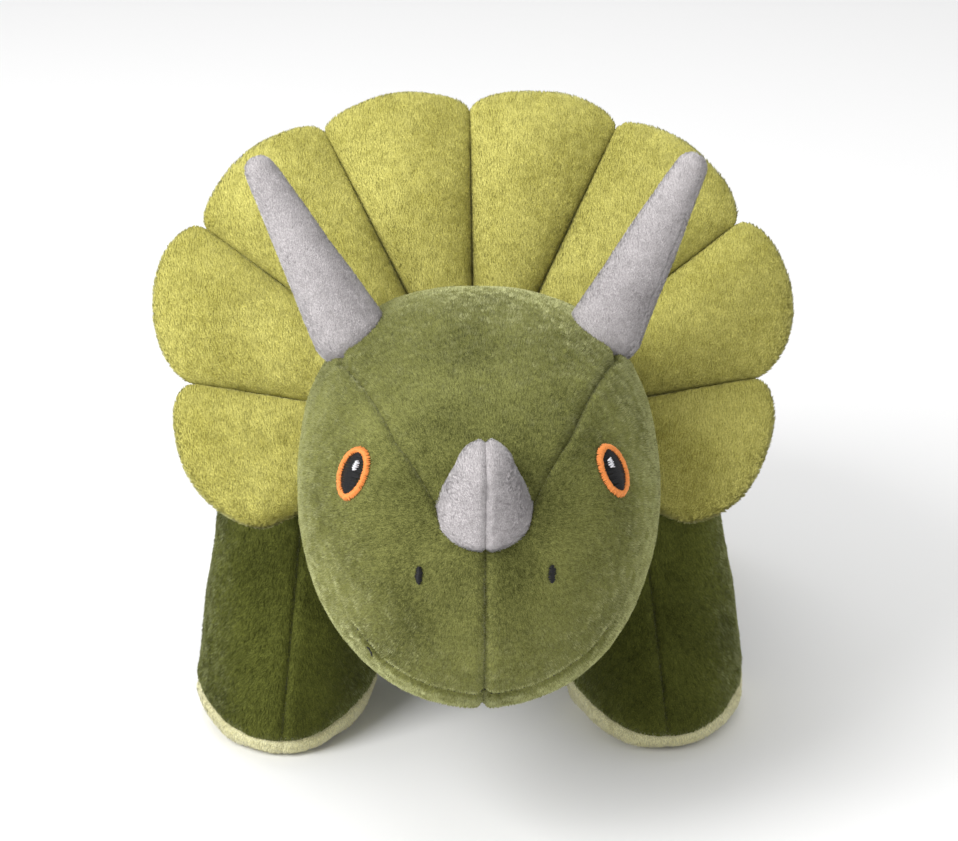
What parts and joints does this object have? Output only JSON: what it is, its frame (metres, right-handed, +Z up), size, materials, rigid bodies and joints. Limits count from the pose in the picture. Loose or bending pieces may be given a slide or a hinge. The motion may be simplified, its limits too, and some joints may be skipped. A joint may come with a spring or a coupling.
{
  "type": "stuffed dinosaur",
  "caption": "Plush three-horned dinosaur standing on flat soles, with a quilted fan-shaped frill, stuffed horns, embroidered eyes and a drooping tail.",
  "frame": {"origin": "centre of the bounding box's underside, on the plane the soles stand on", "axes": "-Y towards the nose, +Y towards the tail, +X towards the toy's own left, +Z up"},
  "size_m": [0.243, 0.489, 0.2488],
  "materials": {
    "olive_plush": "short velvety polyester pile, mid olive, soft sheen",
    "dark_olive_plush": "short velvety polyester pile, dark olive, soft sheen",
    "lime_plush": "short velvety polyester pile, yellow-green, soft sheen",
    "cream_plush": "short velvety polyester pile, pale cream-green",
    "grey_plush": "short velvety polyester pile, pale warm grey",
    "polyester_stuffing": "white polyester fibre fill",
    "orange_thread": "orange satin-stitch embroidery thread, slight gloss",
    "black_thread": "black satin-stitch embroidery thread, slight gloss",
    "white_thread": "white satin-stitch embroidery thread, slight gloss"
  },
  "bodies": {
    "torso": {"torso_left_panel": "dark_olive_plush", "torso_right_panel": "dark_olive_plush", "belly_panel": "dark_olive_plush", "torso_stuffing": "polyester_stuffing"},
    "neck": {"neck_cover": "dark_olive_plush", "neck_stuffing": "polyester_stuffing"},
    "head": {"forehead_panel": "olive_plush", "left_cheek_panel": "olive_plush", "right_cheek_panel": "olive_plush", "chin_panel": "olive_plush", "head_stuffing": "polyester_stuffing", "left_eye_ring": "orange_thread", "left_eye_pupil": "black_thread", "left_eye_glint": "white_thread", "right_eye_ring": "orange_thread", "right_eye_pupil": "black_thread", "right_eye_glint": "white_thread", "left_nostril": "black_thread", "right_nostril": "black_thread", "mouth_stitch": "black_thread", "nose_horn_left_panel": "grey_plush", "nose_horn_right_panel": "grey_plush", "nose_horn_stuffing": "polyester_stuffing", "frill_front_panel": "lime_plush", "frill_back_panel": "lime_plush", "frill_stuffing_1": "polyester_stuffing", "frill_stuffing_2": "polyester_stuffing", "frill_stuffing_3": "polyester_stuffing", "frill_stuffing_4": "polyester_stuffing", "frill_stuffing_5": "polyester_stuffing", "frill_stuffing_6": "polyester_stuffing", "frill_stuffing_7": "polyester_stuffing", "frill_stuffing_8": "polyester_stuffing"},
    "left_brow_horn": {"left_brow_horn_cover": "grey_plush", "left_brow_horn_stuffing": "polyester_stuffing"},
    "right_brow_horn": {"right_brow_horn_cover": "grey_plush", "right_brow_horn_stuffing": "polyester_stuffing"},
    "tail": {"tail_left_panel": "dark_olive_plush", "tail_right_panel": "dark_olive_plush", "tail_stuffing": "polyester_stuffing"},
    "left_front_leg": {"left_front_leg_outer_panel": "dark_olive_plush", "left_front_leg_inner_panel": "dark_olive_plush", "left_front_leg_sole": "cream_plush", "left_front_leg_stuffing": "polyester_stuffing"},
    "left_rear_leg": {"left_rear_leg_outer_panel": "dark_olive_plush", "left_rear_leg_inner_panel": "dark_olive_plush", "left_rear_leg_sole": "cream_plush", "left_rear_leg_stuffing": "polyester_stuffing"},
    "right_front_leg": {"right_front_leg_outer_panel": "dark_olive_plush", "right_front_leg_inner_panel": "dark_olive_plush", "right_front_leg_sole": "cream_plush", "right_front_leg_stuffing": "polyester_stuffing"},
    "right_rear_leg": {"right_rear_leg_outer_panel": "dark_olive_plush", "right_rear_leg_inner_panel": "dark_olive_plush", "right_rear_leg_sole": "cream_plush", "right_rear_leg_stuffing": "polyester_stuffing"}
  },
  "joints": [
    {"name": "head_turn", "type": "hinge", "parent": "torso", "child": "neck", "pos_m": [0, -0.0865, 0.124], "axis": [0, 0, 1], "range_deg": [-15, 15], "stiffness_Nm_per_rad": 2},
    {"name": "head_nod", "type": "hinge", "parent": "neck", "child": "head", "pos_m": [0, -0.0865, 0.124], "axis": [1, 0, 0], "range_deg": [-10, 10], "stiffness_Nm_per_rad": 2.5, "springref_deg": -2.01},
    {"name": "tail_wag", "type": "hinge", "parent": "torso", "child": "tail", "pos_m": [0, 0.1105, 0.116], "axis": [0, 0, 1], "range_deg": [-20, 20], "stiffness_Nm_per_rad": 0.2},
    {"name": "left_brow_horn_flex", "type": "hinge", "parent": "head", "child": "left_brow_horn", "pos_m": [0.04697, -0.13794, 0.1838], "axis": [1, 0, 0], "range_deg": [-12, 12], "stiffness_Nm_per_rad": 0.08},
    {"name": "right_brow_horn_flex", "type": "hinge", "parent": "head", "child": "right_brow_horn", "pos_m": [-0.04697, -0.13794, 0.1838], "axis": [1, 0, 0], "range_deg": [-12, 12], "stiffness_Nm_per_rad": 0.08},
    {"name": "left_front_leg_swing", "type": "hinge", "parent": "torso", "child": "left_front_leg", "pos_m": [0.067, -0.0495, 0.084], "axis": [1, 0, 0], "range_deg": [-15, 15], "stiffness_Nm_per_rad": 1},
    {"name": "left_rear_leg_swing", "type": "hinge", "parent": "torso", "child": "left_rear_leg", "pos_m": [0.067, 0.0985, 0.084], "axis": [1, 0, 0], "range_deg": [-15, 15], "stiffness_Nm_per_rad": 1},
    {"name": "right_front_leg_swing", "type": "hinge", "parent": "torso", "child": "right_front_leg", "pos_m": [-0.067, -0.0495, 0.084], "axis": [1, 0, 0], "range_deg": [-15, 15], "stiffness_Nm_per_rad": 1},
    {"name": "right_rear_leg_swing", "type": "hinge", "parent": "torso", "child": "right_rear_leg", "pos_m": [-0.067, 0.0985, 0.084], "axis": [1, 0, 0], "range_deg": [-15, 15], "stiffness_Nm_per_rad": 1}
  ]
}
